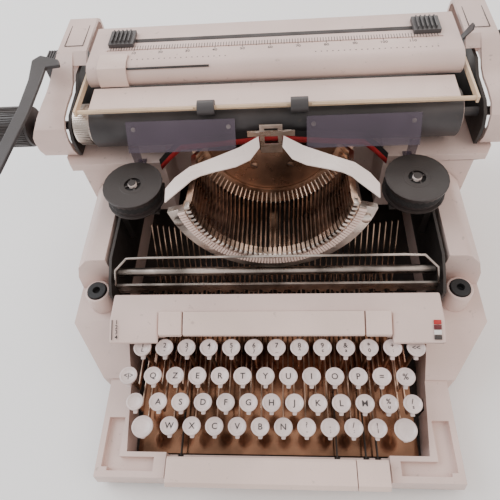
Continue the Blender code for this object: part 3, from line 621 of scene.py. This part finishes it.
def make_carriage_details():
    low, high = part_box("paper_table")
    # Painted shade: a dark strip on the table stands in for the shadowed slot of the margin stops.
    margin_shade_bar = bmesh.new()
    centre = ((low.x + high.x) / 2, high.y - 29 * MM, high.z + 0.12 * MM)
    add_block(margin_shade_bar, centre, (high.x - low.x - 40 * MM, 5.5 * MM, 0.35 * MM), bevel=0.15 * MM)
    piece("margin_slot_painted_shade", margin_shade_bar, "carriage", PRINT_AND_SHADE)
    # Painted shade: a thin dark bar stands in for the shadowed paper guide groove.
    guide_shade_bar = bmesh.new()
    tilt = Matrix.Rotation(math.radians(38), 4, "X")
    place = ((low.x + high.x) / 2 - 93 * MM, low.y + 4.6 * MM, high.z - 2.2 * MM)
    add_block(guide_shade_bar, place, (76 * MM, 2.0 * MM, 0.5 * MM), tilt, 0.2 * MM)
    piece("paper_guide_painted_shade", guide_shade_bar, "carriage", PRINT_AND_SHADE)
    for word, side in (("left", -1), ("right", 1)):
        low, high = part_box("end_cover_" + word)
        inner = low.x if side > 0 else high.x
        frame_lines = bmesh.new()
        middle_x = inner + side * 14 * MM
        front, back = high.y - 55 * MM, high.y - 14 * MM
        top = high.z - 0.35 * MM
        wide, line = 18 * MM, 0.7 * MM
        for y in (front, back):
            add_block(frame_lines, (middle_x, y, top), (wide, line, 0.25 * MM))
        for x in (middle_x - wide / 2, middle_x + wide / 2):
            add_block(frame_lines, (x, (front + back) / 2, top), (line, back - front, 0.25 * MM))
        piece("end_panel_line_" + word, frame_lines, "carriage", PRINT_AND_SHADE)
        low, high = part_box("knob_" + word)
        centre = Vector((0, (low.y + high.y) / 2, (low.z + high.z) / 2))
        end = low.x if side < 0 else high.x
        turn = Matrix.Rotation(side * math.pi / 2, 4, "Y")
        cap = bmesh.new()
        profile = [(0, -2.0 * MM), (15 * MM, -2.0 * MM), (15 * MM, -0.2 * MM)]
        profile += arc_profile(1.2 * MM, (13.8 * MM, -0.2 * MM), 0, 90, 4)
        profile += [(9 * MM, 0.7 * MM), (0, 0.6 * MM)]
        matrix = Matrix.Translation(Vector((end, centre.y, centre.z))) @ turn
        add_turned(cap, matrix, profile, 40)
        piece("knob_cap_" + word, cap, "platen", WHITE_TRIM)
        ribs = bmesh.new()
        for i in range(48):
            spin = Matrix.Rotation(math.tau * i / 48, 4, "X")
            spot = Vector(((low.x + high.x) / 2, centre.y, centre.z)) + spin @ Vector((0, 0, 18.5 * MM))
            add_block(ribs, spot, (30 * MM, 1.1 * MM, 0.9 * MM), spin, 0.25 * MM)
        piece("knob_grip_" + word, ribs, "platen", BLACK)
    low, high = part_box("ratchet_wheel")
    centre = (low + high) / 2
    teeth = bmesh.new()
    for i in range(60):
        spin = Matrix.Rotation(math.tau * i / 60, 4, "X")
        spot = centre + spin @ Vector((0, 0, 18.2 * MM))
        add_block(teeth, spot, (high.x - low.x - 3 * MM, 0.9 * MM, 1.2 * MM), spin, 0.2 * MM)
    piece("ratchet_teeth", teeth, "platen", STEEL)
    ends = bmesh.new()
    ring = [(4.2, -0.4), (19.2, -0.4), (19.6, 0.3), (18.8, 0.9), (4.2, 0.9)]
    profile = [(r * MM, z * MM) for r, z in ring]
    for side in (-1, 1):
        place = Matrix.Translation((side * 165.2 * MM, centre.y, centre.z))
        add_turned(ends, place @ Matrix.Rotation(side * math.pi / 2, 4, "Y"), profile, 48)
    piece("platen_end_rings", ends, "platen", CREAM)


# ------------------------------------------------------------------------ case


def make_case_details():
    low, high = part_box("keyboard_cover")
    slope = Matrix.Rotation(math.radians(27), 4, "X")
    run = slope @ Vector((0, 1, 0))
    start = Vector((0, low.y + 1.9 * MM, high.z - 8.5 * MM))
    colours = ((BLACK, "black_plastic", "black"), (ACCENT_WHITE, "cream_trim", "white"),
               (DARK_RED, "body_shell", "dark_red"), (ACCENT_RED, "body_shell", "red"))
    for i, (material, slot_name, word) in enumerate(colours):
        mark = bmesh.new()
        spot = start + run * (2.0 + 4.1 * i) * MM + Vector((high.x - 6.5 * MM, 0, 0.45 * MM))
        add_block(mark, spot, (6.0 * MM, 3.6 * MM, 0.7 * MM), slope, 0.15 * MM)
        piece("selector_mark_" + word, mark, "case", material)
    letters = bmesh.new()
    for i, letter in enumerate("4321"):
        spot = start + run * (2.2 + 4.2 * i) * MM + Vector((low.x + 6.5 * MM, 0, 0.6 * MM))
        add_text(letters, letter, 0.005, Matrix.Translation(spot) @ slope)
    line = start + run * 8.5 * MM + Vector((low.x + 2.6 * MM, 0, 0.5 * MM))
    add_block(letters, line, (0.8 * MM, 17 * MM, 0.12 * MM), slope)
    piece("touch_scale", letters, "case", PRINT_AND_SHADE)
    posts = bmesh.new()
    for word in ("left", "right"):
        low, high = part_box("grommet_" + word)
        centre = (low + high) / 2
        profile = [(0, -12), (12.5, -12), (11.6, 8.6), (10.8, 9.6), (9.3, 9.8)]
        profile = [(r * MM, z * MM) for r, z in profile]
        add_turned(posts, Matrix.Translation(centre), profile, 40)
    piece("grommet_posts", posts, "case", BODY)
    low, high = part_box("cross_rod")
    links = bmesh.new()
    y = (low.y + high.y) / 2
    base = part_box("side_plate_left")[0].z
    for i in range(TYPEBARS):
        x = (-113 + i * 5.25) * MM
        top = 0.094 + 0.018 * abs(x) / 0.113
        matrix = Matrix.Rotation(math.radians(-28), 4, "X")
        size = (0.9 * MM, 2.6 * MM, top - base)
        add_block(links, (x, y + 23 * MM, (base + top) / 2), size, matrix, 0.2 * MM)
    piece("key_links", links, "case", BAR)


make_keys()
make_basket_details()
make_ribbon_red()
make_spool_details()
make_scales()
make_card_screws()
make_carriage_details()
make_case_details()

# ------------------------------------------------------------ stage and camera


def make_stage():
    mesh = bpy.data.meshes.new("floor")
    editor = bmesh.new()
    bmesh.ops.create_grid(editor, x_segments=1, y_segments=1, size=4.0)
    editor.to_mesh(mesh)
    editor.free()
    floor = bpy.data.objects.new("floor", mesh)
    bpy.context.scene.collection.objects.link(floor)
    material = bpy.data.materials.new("floor_paper")
    material.use_nodes = True
    shader = material.node_tree.nodes["Principled BSDF"]
    shader.inputs["Base Color"].default_value = (0.96, 0.96, 0.96, 1)
    shader.inputs["Roughness"].default_value = 0.9
    mesh.materials.append(material)


def area_light(name, place, target, size, power, colour):
    light = bpy.data.lights.new(name, "AREA")
    light.shape = "RECTANGLE"
    light.size, light.size_y = size
    light.energy = power
    light.color = colour
    obj = bpy.data.objects.new(name, light)
    obj.location = place
    obj.rotation_euler = (Vector(target) - Vector(place)).to_track_quat("-Z", "Y").to_euler()
    bpy.context.scene.collection.objects.link(obj)


def make_light():
    area_light("window", (-1.5, 0.3, 1.5), (0, 0, 0.1), (1.4, 1.4), 30, (0.90, 0.95, 1.0))
    area_light("room", (1.3, -0.5, 1.6), (0, 0, 0.1), (1.6, 1.2), 14, (1.0, 0.84, 0.74))
    area_light("back", (0.1, 1.6, 1.3), (0, 0, 0.15), (1.8, 0.8), 14, (1.0, 0.95, 0.92))
    world = bpy.data.worlds.new("studio")
    bpy.context.scene.world = world
    world.use_nodes = True
    background = world.node_tree.nodes["Background"]
    background.inputs["Color"].default_value = (1.0, 0.97, 0.95, 1)
    background.inputs["Strength"].default_value = 0.85


def make_camera():
    """Looks down on the keyboard from in front, turned and rolled a little."""
    yaw, pitch, roll = math.radians(-7.62), math.radians(56.17), math.radians(-7.18)
    data = bpy.data.cameras.new("camera")
    data.sensor_width = 36.0
    data.lens = 34.32
    data.clip_start = 0.01
    camera = bpy.data.objects.new("camera", data)
    bpy.context.scene.collection.objects.link(camera)
    forward = Vector((math.sin(yaw) * math.cos(pitch), math.cos(yaw) * math.cos(pitch), -math.sin(pitch)))
    right = Vector((math.cos(yaw), -math.sin(yaw), 0.0))
    up = right.cross(forward)
    across = right * math.cos(roll) + up * math.sin(roll)
    upward = -right * math.sin(roll) + up * math.cos(roll)
    matrix = Matrix((across, upward, -forward)).transposed().to_4x4()
    matrix.translation = Vector((0.01103, -0.25971, 0.45937))
    camera.matrix_world = matrix
    bpy.context.scene.camera = camera


make_stage()
make_light()
make_camera()
